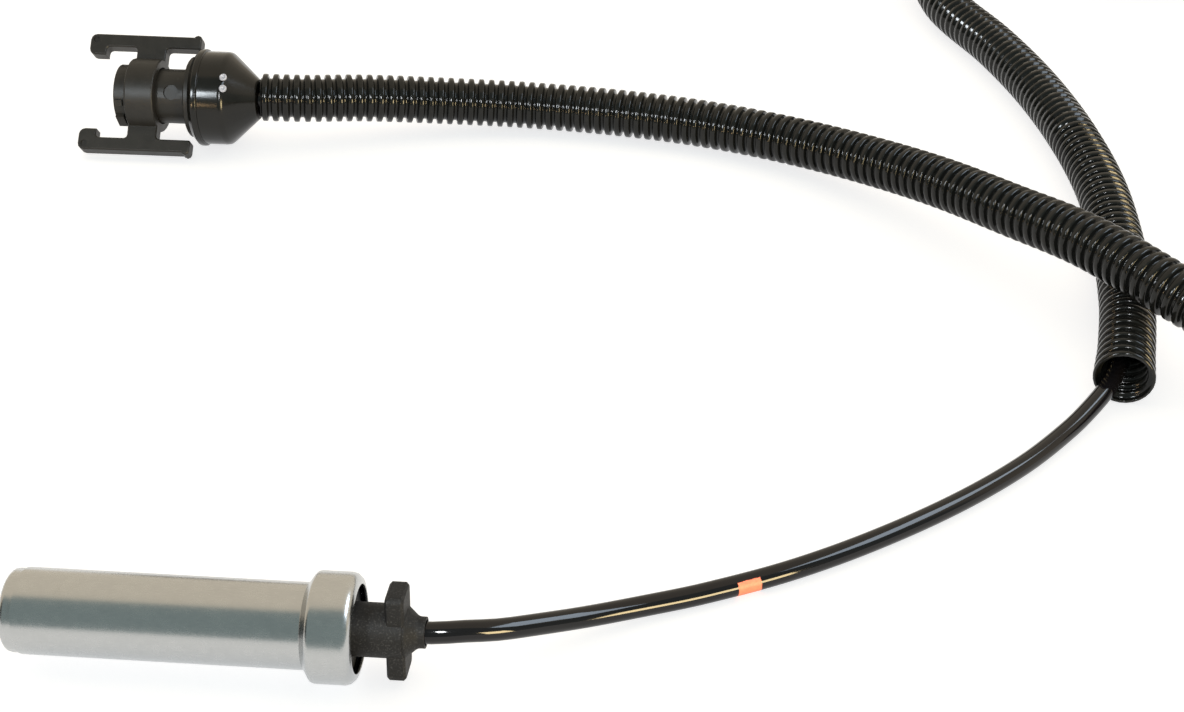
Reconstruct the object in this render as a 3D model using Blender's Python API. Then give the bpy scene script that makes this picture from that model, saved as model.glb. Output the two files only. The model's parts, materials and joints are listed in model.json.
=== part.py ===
"""Wheel speed sensor: steel-sleeved head, cable in a corrugated conduit, plug with a latch ring."""

import math

import bmesh
import bpy
from mathutils import Vector

MM = 0.001

# Fits and mesh detail
GAP = 0.3 * MM  # between pieces that touch on the real object
CUT_PAST = 1.0 * MM  # how far a cutter runs past the face it opens
MERGE = 0.001 * MM
TURN_STEPS = 32
COIL_STEPS = 40
SMALL_TURN_STEPS = 16
PASSAGE_STEPS = 24
DIMPLE_STEPS = 20
HOOK_DIMPLE_STEPS = 12
SEAL_SECTION_STEPS = 10
ARC_STEPS = 3
SHARP_ANGLE = math.radians(35)

# Head: steel sleeve, closed at the tip, with a cup at the rear
HEAD_LENGTH = 77.0 * MM
SLEEVE_D = 16.0 * MM
SLEEVE_WALL = 0.5 * MM
TIP_D = 15.5 * MM
TIP_STEP_LENGTH = 2.3 * MM
TIP_TAPER = 0.5 * MM
TIP_ROUND = 1.1 * MM
SLEEVE_BODY_LENGTH = 55.3 * MM
CUP_D = 20.6 * MM
CUP_LENGTH = 9.5 * MM
CUP_RAMP = 1.5 * MM
CUP_RAMP_ROUND = 1.1 * MM
CUP_REAR_ROUND = 1.9 * MM
CUP_LIP = 0.2 * MM  # flat left on the rolled edge

# Head: moulded body behind the coil
SHOULDER_RECESS = 1.4 * MM  # from the cup's rear edge to the shoulder's face
NECK_D = 10.0 * MM
FLANGE_THICKNESS = 3.5 * MM
FLANGE_HEIGHT = 17.6 * MM
FLANGE_DEPTH = 7.5 * MM
FLANGE_ROUND = 1.3 * MM
FLANGE_EDGE = 0.45 * MM
FLANGE_ROLL = math.radians(-10)
NOZZLE_LENGTH = 3.4 * MM
NOZZLE_D = 5.8 * MM
NOZZLE_FLARE_D = 9.4 * MM
NOZZLE_LAND = 1.4 * MM
BODY_PLUG_LENGTH = 26.5 * MM
SPLICE_CHAMBER_LENGTH = 18.7 * MM
CHAMBER_WALL = 1.1 * MM
SEAL_GROOVE_INSET = 1.6 * MM
SEAL_SECTION_D = 1.6 * MM

# Head: coil, pole pin and magnet
POLE_PIN_D = 4.0 * MM
POLE_PIN_LENGTH = 19.7 * MM
MAGNET_D = 6.0 * MM
MAGNET_LENGTH = 6.0 * MM
BOBBIN_FLANGE_THICKNESS = 1.2 * MM
BOBBIN_HUB_WALL = 0.9 * MM
BOBBIN_BARREL_D = 13.2 * MM
WINDING_LENGTH = 13.6 * MM
WINDING_D = 13.4 * MM
TERMINAL_THICKNESS = 0.5 * MM
TERMINAL_WIDTH = 1.2 * MM
TERMINAL_LENGTH = 13.0 * MM
TERMINAL_SEAT_DEPTH = 5.5 * MM
TERMINAL_OFFSET = 4.4 * MM
SPLICE_LENGTH = 6.0 * MM
SPLICE_WALL = 0.4 * MM
SPLICE_GRIP = 2.0 * MM

# Cable and its cores
CABLE_D = 4.2 * MM
CORE_D = 1.3 * MM
CORE_OFFSET = 0.9 * MM
CABLE_BORE_GAP = 0.3 * MM

# Conduit
CONDUIT_D = 13.2 * MM
FLOOR_GAP = 0.1 * MM
COIL_CENTRE = (215.0 * MM, 392.0 * MM)
COIL_R = 71.0 * MM
COIL_LAYERS = 2
COIL_EDGE_SHARE = 0.9  # of the conduit's radius, rounded off the ring's edges

# Plug: place and shell
PLUG_Y = 198.7 * MM
PLUG_REAR_X = -37.4 * MM
BOOT_LENGTH = 16.8 * MM
BOOT_RIM_D = 26.0 * MM
BOOT_RIM_LENGTH = 2.8 * MM
BOOT_LIP_LENGTH = 1.3 * MM
BOOT_LIP_EDGE = 0.5 * MM
BOOT_RIM_ROUND = 0.5 * MM
BOOT_D = 24.9 * MM
BOOT_CONE_LENGTH = 7.6 * MM
BOOT_END_D = 10.6 * MM
BOOT_WALL = 2.4 * MM
SHELL_D = 14.6 * MM
SHELL_BORE_D = 11.8 * MM
SHELL_FLANGE_D = 21.5 * MM
SHELL_FLANGE_LENGTH = 3.8 * MM
SHELL_FLANGE_EDGE = 0.3 * MM
SHELL_FLANGE_IN_BOOT = 2.3 * MM
SHELL_MIDDLE_LENGTH = 8.3 * MM
NOSE_D = 16.1 * MM
NOSE_LENGTH = 3.0 * MM
NOSE_ROUND = 0.4 * MM
KEY_WIDTH = 4.5 * MM
KEY_HEIGHT = 0.7 * MM
KEY_ANGLE = math.radians(-152)
BUMP_KEY_WIDTH = 1.6 * MM
BUMP_KEY_HEIGHT = 0.6 * MM
BUMP_KEY_ANGLE = math.radians(168)
DIMPLE_R = 2.0 * MM
DIMPLE_DEPTH = 0.6 * MM
DIMPLE_ANGLE = math.radians(144)

# Plug: latch ring
RING_LENGTH = 8.0 * MM
RING_D = 19.6 * MM
RING_ROUND = 0.6 * MM
ARM_LENGTH = 30.6 * MM
ARM_FRONT_REACH = 13.2 * MM  # from the ring's front face to the hook's front
ARM_OUTER = 16.6 * MM
ARM_THICKNESS = 3.6 * MM
ARM_WIDTH = 4.0 * MM
ARM_ROLL = math.radians(41.5)
ARM_EDGE = 0.35 * MM
HOOK_LENGTH = 4.7 * MM
HOOK_REACH = 2.4 * MM
HOOK_ROUND = 1.7 * MM
HOOK_DIMPLE_R = 0.9 * MM
HOOK_DIMPLE_DEPTH = 0.5 * MM
ARM_BUMP_R = 1.1 * MM
ARM_BUMP_HEIGHT = 0.5 * MM
ARM_BUMP_ANGLES = (0, 45, 90, 135, 153)
WEB_ROUND = 1.0 * MM

# Plug: inner pieces
INSERT_RECESS = 0.8 * MM
INSERT_LENGTH = 12.5 * MM
RETAINER_LENGTH = 2.0 * MM
CONTACT_D = 2.0 * MM
CONTACT_BORE_D = 1.2 * MM
CONTACT_BORE_DEPTH = 6.0 * MM
CONTACT_INSET = 1.4 * MM
CONTACT_OFFSET = 2.5 * MM
BARREL_D = 2.8 * MM
BARREL_LENGTH = 4.5 * MM
LEAD_GRIP = 3.0 * MM
WIRE_SEAL_LENGTH = 4.0 * MM
LEAD_END_INSET = 6.6 * MM  # from the boot's end to where the jacket is stripped

# Places worked out from the sizes above
HEAD_Z = CUP_D / 2
TIP_X = -HEAD_LENGTH / 2
NOZZLE_END_X = HEAD_LENGTH / 2
CUP_X = TIP_X + SLEEVE_BODY_LENGTH
CUP_REAR_X = CUP_X + CUP_LENGTH
FLANGE_REAR_X = NOZZLE_END_X - NOZZLE_LENGTH
FLANGE_FRONT_X = FLANGE_REAR_X - FLANGE_THICKNESS
SLEEVE_BORE_R = SLEEVE_D / 2 - SLEEVE_WALL
CUP_BORE_R = CUP_D / 2 - SLEEVE_WALL
CUP_MOUTH_R = CUP_D / 2 - CUP_REAR_ROUND - CUP_LIP
SHOULDER_FRONT_X = CUP_X + CUP_RAMP + SLEEVE_WALL + GAP
SHOULDER_REAR_X = CUP_REAR_X - SHOULDER_RECESS
BODY_FRONT_X = CUP_X - BODY_PLUG_LENGTH
CABLE_BORE_R = CABLE_D / 2 + CABLE_BORE_GAP
CHAMBER_R = SLEEVE_BORE_R - GAP - CHAMBER_WALL
CHAMBER_END_X = BODY_FRONT_X + SPLICE_CHAMBER_LENGTH
JACKET_FRONT_X = CHAMBER_END_X + CABLE_D / 2

CORE_BAY_X = TIP_X + SLEEVE_WALL + 2 * GAP
WINDING_X = CORE_BAY_X + BOBBIN_FLANGE_THICKNESS + GAP
BOBBIN_BACK_X = WINDING_X + WINDING_LENGTH + GAP
BARREL_END_X = BODY_FRONT_X - GAP
POLE_PIN_X = TIP_X + SLEEVE_WALL + GAP
MAGNET_X = POLE_PIN_X + POLE_PIN_LENGTH + GAP
TERMINAL_X = BARREL_END_X - TERMINAL_SEAT_DEPTH
TERMINAL_END_X = TERMINAL_X + TERMINAL_LENGTH
SPLICE_X = TERMINAL_END_X - SPLICE_GRIP
SPLICE_END_X = SPLICE_X + SPLICE_LENGTH
SPLICE_BORE_R = max(CORE_D, math.hypot(TERMINAL_WIDTH, TERMINAL_THICKNESS)) / 2 + GAP

PLUG_Z = BOOT_RIM_D / 2
BOOT_FRONT_X = PLUG_REAR_X - BOOT_LENGTH
SHELL_REAR_X = BOOT_FRONT_X + SHELL_FLANGE_IN_BOOT
SHELL_FLANGE_X = SHELL_REAR_X - SHELL_FLANGE_LENGTH
RING_REAR_X = SHELL_FLANGE_X - SHELL_MIDDLE_LENGTH
RING_FRONT_X = RING_REAR_X - RING_LENGTH
NOSE_REAR_X = RING_FRONT_X - GAP
NOSE_X = NOSE_REAR_X - NOSE_LENGTH
SHELL_BORE_R = SHELL_BORE_D / 2
INNER_R = SHELL_BORE_R - GAP
INSERT_X = NOSE_X + INSERT_RECESS
INSERT_END_X = INSERT_X + INSERT_LENGTH
RETAINER_X = INSERT_END_X + GAP
RETAINER_END_X = RETAINER_X + RETAINER_LENGTH
WIRE_SEAL_END_X = SHELL_REAR_X - GAP
WIRE_SEAL_X = WIRE_SEAL_END_X - WIRE_SEAL_LENGTH
CONTACT_X = INSERT_X + CONTACT_INSET
BARREL_X = INSERT_END_X + GAP
BARREL_REAR_X = BARREL_X + BARREL_LENGTH
LEAD_X = BARREL_REAR_X - LEAD_GRIP
LEAD_END_X = PLUG_REAR_X - LEAD_END_INSET
BOOT_CAVITY_X = SHELL_REAR_X + GAP
BOOT_CONE_X = PLUG_REAR_X - BOOT_CONE_LENGTH
BOOT_CAVITY_END_X = BOOT_CONE_X - BOOT_WALL
LEADS_MEET_X = BOOT_CAVITY_END_X - GAP

CONDUIT_REST_Z = CONDUIT_D / 2 + FLOOR_GAP
COIL_TOP_Z = CONDUIT_REST_Z + CONDUIT_D
CABLE_POINT_SPACING = 2.4 * CABLE_D
CONDUIT_POINT_SPACING = 2.1 * CONDUIT_D
COIL_REACH = math.sqrt((COIL_R + CONDUIT_D / 2 + GAP) ** 2 - (COIL_R - CONDUIT_D / 2) ** 2)

# Routes, read off by eye along the centre lines, in metres through MM
CABLE_ROUTE = [
    (45.0, 1.3, 9.9),
    (51.0, 3.6, 8.6),
    (57.5, 7.5, 6.7),
    (66.4, 12.9, 4.3),
    (77.2, 18.6, 2.7),
    (88.3, 23.5, 2.2),
    (104.9, 31.5, 2.2),
    (121.5, 41.8, 2.2),
    (138.8, 54.8, 2.2),
    (153.6, 68.5, 2.2),
    (164.9, 81.7, 2.5),
    (171.2, 90.0, 3.6),
    (174.4, 94.2, 4.5),
]
CONNECTOR_RUN_ROUTE = [
    (-25.7, 200.9, 12.7),
    (-10.0, 205.3, 11.2),
    (10.0, 210.2, 8.7),
    (34.0, 212.9, 6.9),
    (60.0, 210.6, 6.7),
    (82.1, 206.3, 6.7),
    (103.4, 198.2, 7.4),
    (123.4, 184.9, 9.8),
    (141.6, 167.8, 13.4),
    (157.7, 148.7, 17.0),
    (173.0, 130.9, 19.8),
    (190.1, 109.5, 20.0),
    (210.0, 94.2, 16.0),
    (234.5, 88.8, 10.5),
    (263.5, 96.6, 6.8),
    (284.7, 117.8, 6.7),
    (292.5, 146.8, 6.7),
    (292.0, 200.0, 6.7),
    (288.5, 260.0, 6.7),
    (286.2, 315.0, 6.7),
]
MOUTH_RUN_ROUTE = [
    (144.3, 334.0, 18.4),
    (146.2, 318.0, 13.2),
    (149.3, 302.0, 8.6),
    (153.4, 286.8, 6.8),
    (164.9, 261.4, 6.7),
    (174.0, 235.3, 6.7),
    (180.4, 208.2, 6.7),
    (184.2, 180.3, 6.7),
    (184.6, 153.0, 6.7),
    (183.0, 126.7, 6.7),
    (180.7, 110.8, 6.7),
    (177.8, 95.5, 6.7),
]


def material(name, colour, roughness, metallic=0.0):
    """A Principled material, made once and shared by name."""
    found = bpy.data.materials.get(name)
    if found:
        return found
    made = bpy.data.materials.new(name)
    made.use_nodes = True
    shader = made.node_tree.nodes["Principled BSDF"]
    shader.inputs["Base Color"].default_value = (*colour, 1.0)
    shader.inputs["Roughness"].default_value = roughness
    shader.inputs["Metallic"].default_value = metallic
    return made


def steel():
    return material("steel", (0.60, 0.58, 0.54), 0.28, 1.0)


def iron():
    return material("iron", (0.42, 0.42, 0.43), 0.4, 1.0)


def copper():
    return material("copper", (0.72, 0.36, 0.20), 0.35, 1.0)


def brass():
    return material("brass", (0.75, 0.60, 0.30), 0.3, 1.0)


def moulding():
    return material("moulding", (0.035, 0.033, 0.033), 0.6)


def plug_plastic():
    return material("plug_plastic", (0.05, 0.045, 0.04), 0.55)


def inner_plastic():
    return material("inner_plastic", (0.25, 0.25, 0.26), 0.5)


def boot_rubber():
    return material("boot_rubber", (0.04, 0.038, 0.035), 0.45)


def seal_rubber():
    return material("seal_rubber", (0.05, 0.05, 0.05), 0.7)


def cable_jacket():
    return material("cable_jacket", (0.012, 0.012, 0.014), 0.2)


def core_jacket():
    return material("core_jacket", (0.55, 0.45, 0.30), 0.4)


def conduit_plastic():
    return material("conduit_plastic", (0.03, 0.028, 0.025), 0.4)


def add_object(name, data, finish, location=(0.0, 0.0, 0.0)):
    """Links a new object with one material at a place in the part's frame."""
    made = bpy.data.objects.new(name, data)
    bpy.context.scene.collection.objects.link(made)
    made.location = location
    if finish:
        data.materials.append(finish)
    return made


def as_cutter(helper):
    helper.hide_render = True
    helper.display_type = "WIRE"
    return helper


def combine(target, helper, operation):
    """Adds a Boolean of the target with a hidden helper."""
    as_cutter(helper)
    step = target.modifiers.new(helper.name, "BOOLEAN")
    step.operation = operation
    step.solver = "EXACT"
    step.object = helper
    return target


def finished_mesh(name, bm):
    """Turns a bmesh into a mesh with outward faces and smooth rounds."""
    bmesh.ops.remove_doubles(bm, verts=bm.verts, dist=MERGE)
    bmesh.ops.recalc_face_normals(bm, faces=bm.faces)
    mesh = bpy.data.meshes.new(name)
    bm.to_mesh(mesh)
    bm.free()
    mesh.shade_smooth()
    mesh.set_sharp_from_angle(angle=SHARP_ANGLE)
    return mesh


def rounded(corners):
    """An outline in which each corner given as (x, y, radius) becomes an arc."""
    points = []
    for index, corner in enumerate(corners):
        if len(corner) == 2:
            points.append(Vector(corner))
            continue
        here = Vector(corner[:2])
        back = Vector(corners[index - 1][:2]) - here
        ahead = Vector(corners[(index + 1) % len(corners)][:2]) - here
        half = back.angle(ahead) / 2
        start = here + back.normalized() * corner[2] / math.tan(half)
        end = here + ahead.normalized() * corner[2] / math.tan(half)
        centre = here + (back.normalized() + ahead.normalized()).normalized() * corner[2] / math.sin(half)
        first = start - centre
        turn = first.angle_signed(end - centre)
        for step in range(ARC_STEPS + 1):
            angle = -turn * step / ARC_STEPS
            spoke = Vector((
                first.x * math.cos(angle) - first.y * math.sin(angle),
                first.x * math.sin(angle) + first.y * math.cos(angle),
            ))
            points.append(centre + spoke)
    return points


def turned(name, corners, finish, location, steps=TURN_STEPS):
    """A shape turned about the X axis: solid if its outline starts and ends on the axis, else a ring."""
    outline = rounded(corners)
    bm = bmesh.new()
    verts = [bm.verts.new((point[0], 0.0, point[1])) for point in outline]
    edges = [bm.edges.new(pair) for pair in zip(verts, verts[1:])]
    if outline[0][1] > 0 or outline[-1][1] > 0:
        edges.append(bm.edges.new((verts[-1], verts[0])))
    bmesh.ops.spin(
        bm,
        geom=verts + edges,
        cent=(0, 0, 0),
        axis=(1, 0, 0),
        angle=math.tau,
        steps=steps,
        use_merge=True,
    )
    return add_object(name, finished_mesh(name, bm), finish, location)


def rod(name, x_from, x_to, radius, finish, location, steps=SMALL_TURN_STEPS):
    corners = [(x_from, 0.0), (x_from, radius), (x_to, radius), (x_to, 0.0)]
    return turned(name, corners, finish, location, steps)


def ring(name, x_from, x_to, inner, outer, finish, location, steps=TURN_STEPS):
    corners = [(x_from, inner), (x_from, outer), (x_to, outer), (x_to, inner)]
    return turned(name, corners, finish, location, steps)


def block(name, low, high, finish, location, edge=0.0):
    """A box between two corners, with its edges rounded where edge is given."""
    bm = bmesh.new()
    bmesh.ops.create_cube(bm, size=1.0)
    size = Vector(high) - Vector(low)
    middle = (Vector(high) + Vector(low)) / 2
    bmesh.ops.scale(bm, vec=size, verts=bm.verts)
    bmesh.ops.translate(bm, vec=middle, verts=bm.verts)
    if edge:
        bmesh.ops.bevel(bm, geom=bm.edges, offset=edge, segments=2, affect="EDGES", profile=0.5)
    return add_object(name, finished_mesh(name, bm), finish, location)


def plate(name, outline, low_z, high_z, finish, location, edge=0.0):
    """An outline in XY, pulled up from low_z to high_z, with its long edges rounded where edge is given."""
    bm = bmesh.new()
    base = bm.faces.new([bm.verts.new((point[0], point[1], low_z)) for point in outline])
    pulled = bmesh.ops.extrude_face_region(bm, geom=[base])["geom"]
    top = [item for item in pulled if isinstance(item, bmesh.types.BMVert)]
    bmesh.ops.translate(bm, vec=(0, 0, high_z - low_z), verts=top)
    if edge:
        rims = [item for item in bm.edges if abs(item.verts[0].co.z - item.verts[1].co.z) < MERGE]
        bmesh.ops.bevel(bm, geom=rims, offset=edge, segments=1, affect="EDGES")
    return add_object(name, finished_mesh(name, bm), finish, location)


def smooth_curve(points, steps=12):
    """Points of a smooth curve through the given ones, each stretch leaning on its neighbours."""
    known = [Vector(point) for point in points]
    ends = [2 * known[0] - known[1], *known, 2 * known[-1] - known[-2]]
    curve = []
    for before, start, end, after in zip(ends, ends[1:], ends[2:], ends[3:]):
        reach = (end - start).length
        lean_in = (end - before) / ((start - before).length + reach) * reach
        lean_out = (after - start) / ((after - end).length + reach) * reach
        for step in range(steps):
            t = step / steps
            curve.append(
                start * (2 * t**3 - 3 * t**2 + 1)
                + lean_in * (t**3 - 2 * t**2 + t)
                + end * (3 * t**2 - 2 * t**3)
                + lean_out * (t**3 - t**2)
            )
    curve.append(known[-1])
    return curve


def spaced(curve, spacing):
    """Points at even distances along a fine curve, with both ends kept."""
    lengths = [0.0]
    for start, end in zip(curve, curve[1:]):
        lengths.append(lengths[-1] + (end - start).length)
    count = max(1, round(lengths[-1] / spacing))
    points = []
    index = 0
    for step in range(count + 1):
        wanted = lengths[-1] * step / count
        while index < len(lengths) - 2 and lengths[index + 1] < wanted:
            index += 1
        share = (wanted - lengths[index]) / (lengths[index + 1] - lengths[index])
        points.append(curve[index].lerp(curve[index + 1], share))
    return points


def eased(start, end, steps=6):
    """Points that run from start to end, easing sideways in an S."""
    points = []
    for step in range(steps + 1):
        share = step / steps
        sideways = (1 - math.cos(math.pi * share)) / 2
        along = start[0] + (end[0] - start[0]) * share
        points.append((along, start[1] + (end[1] - start[1]) * sideways, start[2]))
    return points


def tube(name, points, diameter, finish, resolution=2):
    """A round cord along the given points, with closed ends."""
    curve = bpy.data.curves.new(name, "CURVE")
    curve.dimensions = "3D"
    curve.bevel_depth = diameter / 2
    curve.bevel_resolution = resolution
    curve.use_fill_caps = True
    spline = curve.splines.new("POLY")
    spline.points.add(len(points) - 1)
    for target, point in zip(spline.points, points):
        target.co = (*point, 1.0)
    return add_object(name, curve, finish)


def in_metres(route):
    return [Vector(point) * MM for point in route]


def make_sleeve(place):
    bore = SLEEVE_BORE_R
    step_x = TIP_X + TIP_STEP_LENGTH
    corners = [
        (TIP_X, 0.0),
        (TIP_X, TIP_D / 2, TIP_ROUND),
        (step_x, TIP_D / 2),
        (step_x + TIP_TAPER, SLEEVE_D / 2),
        (CUP_X, SLEEVE_D / 2),
        (CUP_X + CUP_RAMP, CUP_D / 2, CUP_RAMP_ROUND),
        (CUP_REAR_X, CUP_D / 2, CUP_REAR_ROUND),
        (CUP_REAR_X, CUP_MOUTH_R),
        (CUP_REAR_X - SLEEVE_WALL, CUP_MOUTH_R),
        (CUP_REAR_X - SLEEVE_WALL, CUP_BORE_R, CUP_REAR_ROUND - SLEEVE_WALL),
        (CUP_X + CUP_RAMP + SLEEVE_WALL / 2, CUP_BORE_R),
        (CUP_X + SLEEVE_WALL / 2, bore),
        (step_x + TIP_TAPER, bore),
        (step_x, TIP_D / 2 - SLEEVE_WALL),
        (TIP_X + SLEEVE_WALL, TIP_D / 2 - SLEEVE_WALL, TIP_ROUND - SLEEVE_WALL),
        (TIP_X + SLEEVE_WALL, 0.0),
    ]
    return turned("sensor_sleeve", corners, steel(), place)


def make_coil_group(place):
    """The bobbin with its winding, pole pin and magnet."""
    flange_r = TIP_D / 2 - SLEEVE_WALL - GAP
    pin_bore_r = POLE_PIN_D / 2 + GAP
    hub_r = pin_bore_r + BOBBIN_HUB_WALL
    magnet_bore_r = MAGNET_D / 2 + GAP
    bobbin = turned(
        "bobbin",
        [
            (CORE_BAY_X, pin_bore_r),
            (CORE_BAY_X, flange_r - TIP_ROUND),
            (CORE_BAY_X + BOBBIN_FLANGE_THICKNESS / 2, flange_r),
            (CORE_BAY_X + BOBBIN_FLANGE_THICKNESS, flange_r),
            (CORE_BAY_X + BOBBIN_FLANGE_THICKNESS, hub_r),
            (BOBBIN_BACK_X, hub_r),
            (BOBBIN_BACK_X, SLEEVE_BORE_R - GAP),
            (BOBBIN_BACK_X + BOBBIN_FLANGE_THICKNESS, SLEEVE_BORE_R - GAP),
            (BOBBIN_BACK_X + BOBBIN_FLANGE_THICKNESS, BOBBIN_BARREL_D / 2),
            (BARREL_END_X, BOBBIN_BARREL_D / 2),
            (BARREL_END_X, magnet_bore_r),
            (MAGNET_X - GAP, magnet_bore_r),
            (MAGNET_X - GAP, pin_bore_r),
        ],
        inner_plastic(),
        place,
    )
    for suffix, side in (("a", -1), ("b", 1)):
        pocket = block(
            f"terminal_pocket_{suffix}",
            (
                TERMINAL_X - GAP,
                side * TERMINAL_OFFSET - TERMINAL_THICKNESS / 2 - GAP,
                -TERMINAL_WIDTH / 2 - GAP,
            ),
            (
                BARREL_END_X + CUT_PAST,
                side * TERMINAL_OFFSET + TERMINAL_THICKNESS / 2 + GAP,
                TERMINAL_WIDTH / 2 + GAP,
            ),
            None,
            place,
        )
        combine(bobbin, pocket, "DIFFERENCE")
    winding_end_x = WINDING_X + WINDING_LENGTH
    ring("coil_winding", WINDING_X, winding_end_x, hub_r + GAP, WINDING_D / 2, copper(), place)
    rod("pole_pin", POLE_PIN_X, POLE_PIN_X + POLE_PIN_LENGTH, POLE_PIN_D / 2, iron(), place)
    rod("magnet", MAGNET_X, MAGNET_X + MAGNET_LENGTH, MAGNET_D / 2, iron(), place)


def make_terminals(place):
    """Each terminal, its crimped splice and the cable core behind it."""
    for suffix, side in (("a", -1), ("b", 1)):
        block(
            f"terminal_{suffix}",
            (TERMINAL_X, side * TERMINAL_OFFSET - TERMINAL_THICKNESS / 2, -TERMINAL_WIDTH / 2),
            (TERMINAL_END_X, side * TERMINAL_OFFSET + TERMINAL_THICKNESS / 2, TERMINAL_WIDTH / 2),
            brass(),
            place,
        )
        seat = Vector(place) + Vector((0, side * TERMINAL_OFFSET, 0))
        ring(
            f"splice_{suffix}",
            SPLICE_X,
            SPLICE_END_X,
            SPLICE_BORE_R,
            SPLICE_BORE_R + SPLICE_WALL,
            brass(),
            seat,
            SMALL_TURN_STEPS,
        )
        leaves_splice = (SPLICE_END_X + GAP, side * TERMINAL_OFFSET, HEAD_Z)
        reaches_bore = (CHAMBER_END_X - GAP, side * CORE_OFFSET, HEAD_Z)
        core_points = [
            (SPLICE_END_X - SPLICE_GRIP, side * TERMINAL_OFFSET, HEAD_Z),
            *eased(leaves_splice, reaches_bore),
            (JACKET_FRONT_X - GAP, side * CORE_OFFSET, HEAD_Z),
        ]
        tube(f"core_{suffix}", core_points, CORE_D, core_jacket())


def make_sensor_body(place):
    """The overmould: plug in the sleeve, shoulder in the cup, neck, flange plate and bored nozzle."""
    plug_r = SLEEVE_BORE_R - GAP
    shoulder_r = CUP_BORE_R - GAP
    groove_x = SHOULDER_FRONT_X + SEAL_GROOVE_INSET
    groove_end_x = groove_x + SEAL_SECTION_D + 2 * GAP
    groove_r = shoulder_r - SEAL_SECTION_D - GAP
    body = turned(
        "sensor_body",
        [
            (BODY_FRONT_X, 0.0),
            (BODY_FRONT_X, plug_r),
            (CUP_X + SLEEVE_WALL / 2, plug_r),
            (SHOULDER_FRONT_X, shoulder_r - GAP),
            (SHOULDER_FRONT_X + GAP, shoulder_r),
            (groove_x, shoulder_r),
            (groove_x, groove_r),
            (groove_end_x, groove_r),
            (groove_end_x, shoulder_r),
            (SHOULDER_REAR_X - 2 * GAP, shoulder_r),
            (SHOULDER_REAR_X, CUP_MOUTH_R),
            (SHOULDER_REAR_X, NECK_D / 2),
            (FLANGE_REAR_X - FLANGE_EDGE, NECK_D / 2),
            (FLANGE_REAR_X - FLANGE_EDGE, NOZZLE_FLARE_D / 2),
            (FLANGE_REAR_X, NOZZLE_FLARE_D / 2),
            (NOZZLE_END_X - NOZZLE_LAND, NOZZLE_D / 2, NOZZLE_LAND),
            (NOZZLE_END_X, NOZZLE_D / 2),
            (NOZZLE_END_X, 0.0),
        ],
        moulding(),
        place,
    )
    half_height = FLANGE_HEIGHT / 2
    half_depth = FLANGE_DEPTH / 2
    outline = rounded([
        (-half_height, -half_depth, FLANGE_ROUND),
        (half_height, -half_depth, FLANGE_ROUND),
        (half_height, half_depth, FLANGE_ROUND),
        (-half_height, half_depth, FLANGE_ROUND),
    ])
    flange = plate("flange_plate", outline, FLANGE_FRONT_X, FLANGE_REAR_X, None, place, FLANGE_EDGE)
    flange.rotation_mode = "ZYX"
    flange.rotation_euler = (0, math.radians(90), FLANGE_ROLL)
    combine(body, flange, "UNION")
    passage = turned(
        "cable_passage",
        [
            (BODY_FRONT_X - CUT_PAST, 0.0),
            (BODY_FRONT_X - CUT_PAST, CHAMBER_R),
            (CHAMBER_END_X, CHAMBER_R),
            (CHAMBER_END_X, CABLE_BORE_R),
            (NOZZLE_END_X + CUT_PAST, CABLE_BORE_R),
            (NOZZLE_END_X + CUT_PAST, 0.0),
        ],
        None,
        place,
        PASSAGE_STEPS,
    )
    combine(body, passage, "DIFFERENCE")
    seal_r = SEAL_SECTION_D / 2
    seal_x = groove_x + GAP + seal_r
    section = [
        (
            seal_x + seal_r * math.cos(math.tau * step / SEAL_SECTION_STEPS),
            groove_r + GAP + seal_r + seal_r * math.sin(math.tau * step / SEAL_SECTION_STEPS),
        )
        for step in range(SEAL_SECTION_STEPS)
    ]
    turned("sleeve_seal", section, seal_rubber(), place)


def make_shell(place):
    """The plug's body: nose with two keys, middle with a round dimple, and rear flange."""
    shell = turned(
        "connector_shell",
        [
            (NOSE_X, SHELL_BORE_R),
            (NOSE_X, NOSE_D / 2, NOSE_ROUND),
            (NOSE_REAR_X, NOSE_D / 2),
            (NOSE_REAR_X, SHELL_D / 2),
            (SHELL_FLANGE_X, SHELL_D / 2),
            (SHELL_FLANGE_X, SHELL_FLANGE_D / 2 - SHELL_FLANGE_EDGE),
            (SHELL_FLANGE_X + SHELL_FLANGE_EDGE, SHELL_FLANGE_D / 2),
            (SHELL_REAR_X, SHELL_FLANGE_D / 2),
            (SHELL_REAR_X, SHELL_BORE_R),
        ],
        plug_plastic(),
        place,
    )
    for name, width, height, angle in (
        ("wide_key", KEY_WIDTH, KEY_HEIGHT, KEY_ANGLE),
        ("bump_key", BUMP_KEY_WIDTH, BUMP_KEY_HEIGHT, BUMP_KEY_ANGLE),
    ):
        root_r = (SHELL_BORE_R + NOSE_D / 2) / 2
        key = block(
            name,
            (NOSE_X + NOSE_ROUND, root_r, -width / 2),
            (NOSE_REAR_X - NOSE_ROUND, NOSE_D / 2 + height, width / 2),
            None,
            place,
        )
        key.rotation_euler = (angle, 0, 0)
        combine(shell, key, "UNION")
    dimple = rod("dimple", -DIMPLE_DEPTH, CUT_PAST, DIMPLE_R, None, place, DIMPLE_STEPS)
    middle_x = (RING_REAR_X + SHELL_FLANGE_X) / 2
    outward = Vector((0, math.cos(DIMPLE_ANGLE), math.sin(DIMPLE_ANGLE)))
    dimple.location = Vector(place) + Vector((middle_x, 0, 0)) + outward * SHELL_D / 2
    dimple.rotation_mode = "QUATERNION"
    dimple.rotation_quaternion = Vector((1, 0, 0)).rotation_difference(outward)
    combine(shell, dimple, "DIFFERENCE")


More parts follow.
